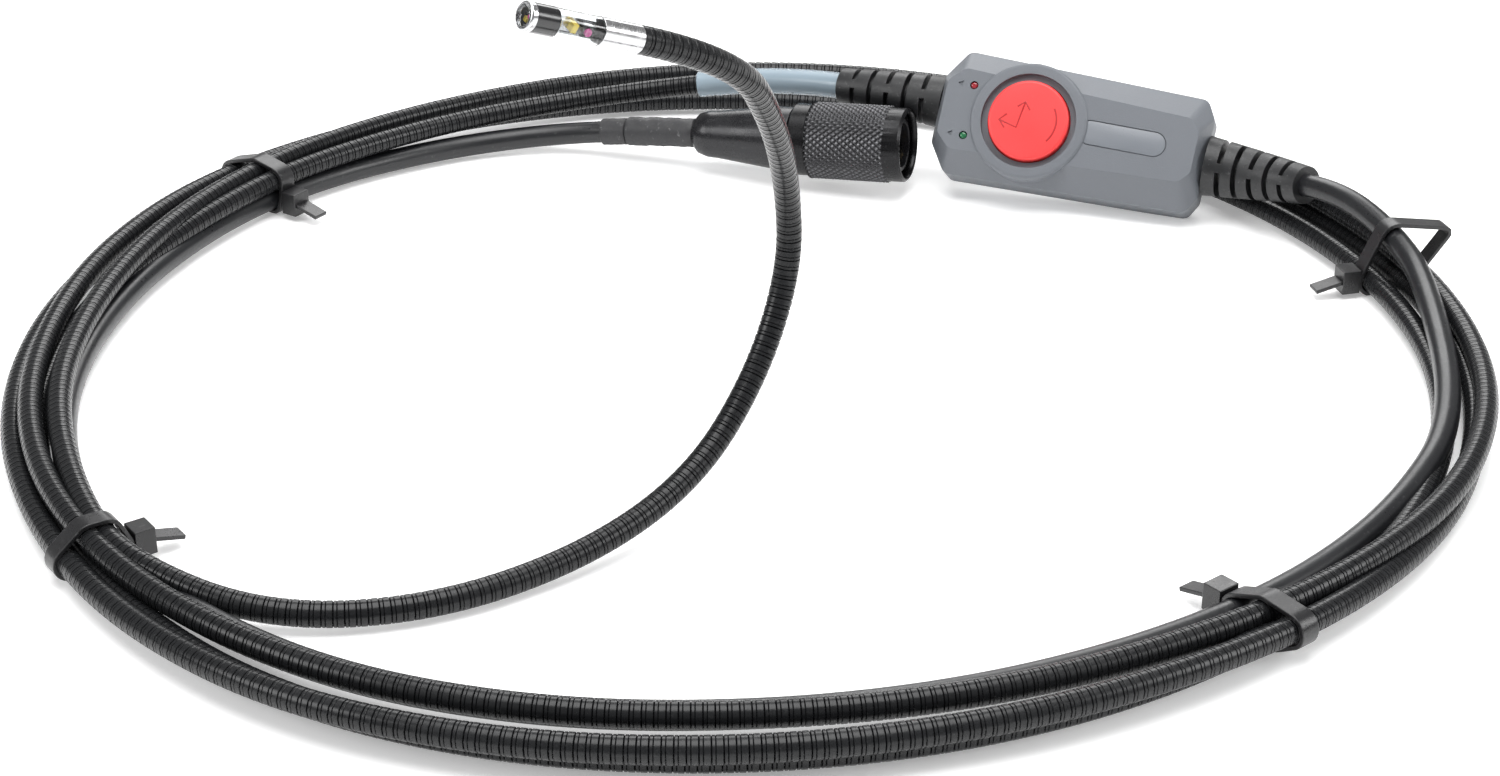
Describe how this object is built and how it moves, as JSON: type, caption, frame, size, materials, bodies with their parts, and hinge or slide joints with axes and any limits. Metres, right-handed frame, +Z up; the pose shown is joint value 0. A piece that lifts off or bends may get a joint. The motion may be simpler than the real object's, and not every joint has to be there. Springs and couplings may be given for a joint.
{
  "type": "inspection camera probe",
  "caption": "Coiled inspection probe: ribbed hose with a camera head, a push-button control box and a multi-pin screw-ring connector, held by cable ties.",
  "frame": {"origin": "on the floor under the middle of the tied coil", "axes": "+Z up from the floor the coil lies on, +X to the right, -Y towards the side the probe head points to and the button faces"},
  "size_m": [0.34, 0.3459, 0.1303],
  "materials": {
    "box_plastic": "soft-touch grained",
    "button_plastic": "satin",
    "switch_plastic": "moulded",
    "board": "solder mask",
    "chip": "moulded",
    "red_lamp": "tinted clear",
    "green_lamp": "tinted clear",
    "wire": "insulated",
    "steel": "brushed",
    "boot_rubber": "moulded",
    "hose_armour": "ribbed, satin",
    "cable_jacket": "smooth, satin",
    "clear_sleeve": "clear, slightly blue",
    "heat_shrink": "shrunk tube",
    "black_metal": "black anodised",
    "insert_plastic": "moulded",
    "gold": "gold plated",
    "seal_rubber": "moulded",
    "tie_plastic": "moulded",
    "head_steel": "polished",
    "window": "clear",
    "lens": "coated",
    "led": "phosphor"
  },
  "bodies": {
    "probe": {"upper_shell": "box_plastic", "lower_shell": "box_plastic", "shell_screws": "steel", "switch_body": "switch_plastic", "circuit_board": "board", "board_chips": "chip", "red_lamp": "red_lamp", "green_lamp": "green_lamp", "board_wires": "wire", "strain_relief_left": "boot_rubber", "strain_relief_right": "boot_rubber", "tied_coil": "hose_armour", "hose_lead": "hose_armour", "hose_free_end": "hose_armour", "cable_lead": "cable_jacket", "cable_tail": "cable_jacket", "clear_sleeve": "clear_sleeve", "heat_shrink_connector": "heat_shrink", "heat_shrink_cable": "heat_shrink", "connector_barrel": "black_metal", "pin_insert": "insert_plastic", "contact_pins": "gold", "connector_wires": "wire", "barrel_seal": "seal_rubber", "retaining_clip": "steel", "backshell": "black_metal", "head_tube": "head_steel", "window_tube": "window", "front_cap": "black_metal", "front_rim": "head_steel", "front_window": "window", "head_chassis": "chip", "side_camera": "chip", "side_lens": "lens", "side_led": "led", "front_camera": "chip", "front_lens": "lens", "front_leds": "led", "cable_tie_a": "tie_plastic", "cable_tie_b": "tie_plastic", "cable_tie_c": "tie_plastic", "cable_tie_d": "tie_plastic"},
    "button": {"button_cap": "button_plastic", "switch_plunger": "switch_plastic"},
    "coupling": {"coupling_ring": "black_metal"}
  },
  "joints": [
    {"name": "button_press", "type": "slide", "parent": "probe", "child": "button", "axis": [0.2255, 0.8077, -0.5448], "range_m": [0, 0.0009], "stiffness_N_per_m": 600, "springref_m": -0.002},
    {"name": "coupling_turn", "type": "hinge", "parent": "probe", "child": "coupling", "pos_m": [0.01734, 0.106, 0.01212], "axis": [0.9461, -0.3166, 0.068], "continuous": true}
  ]
}
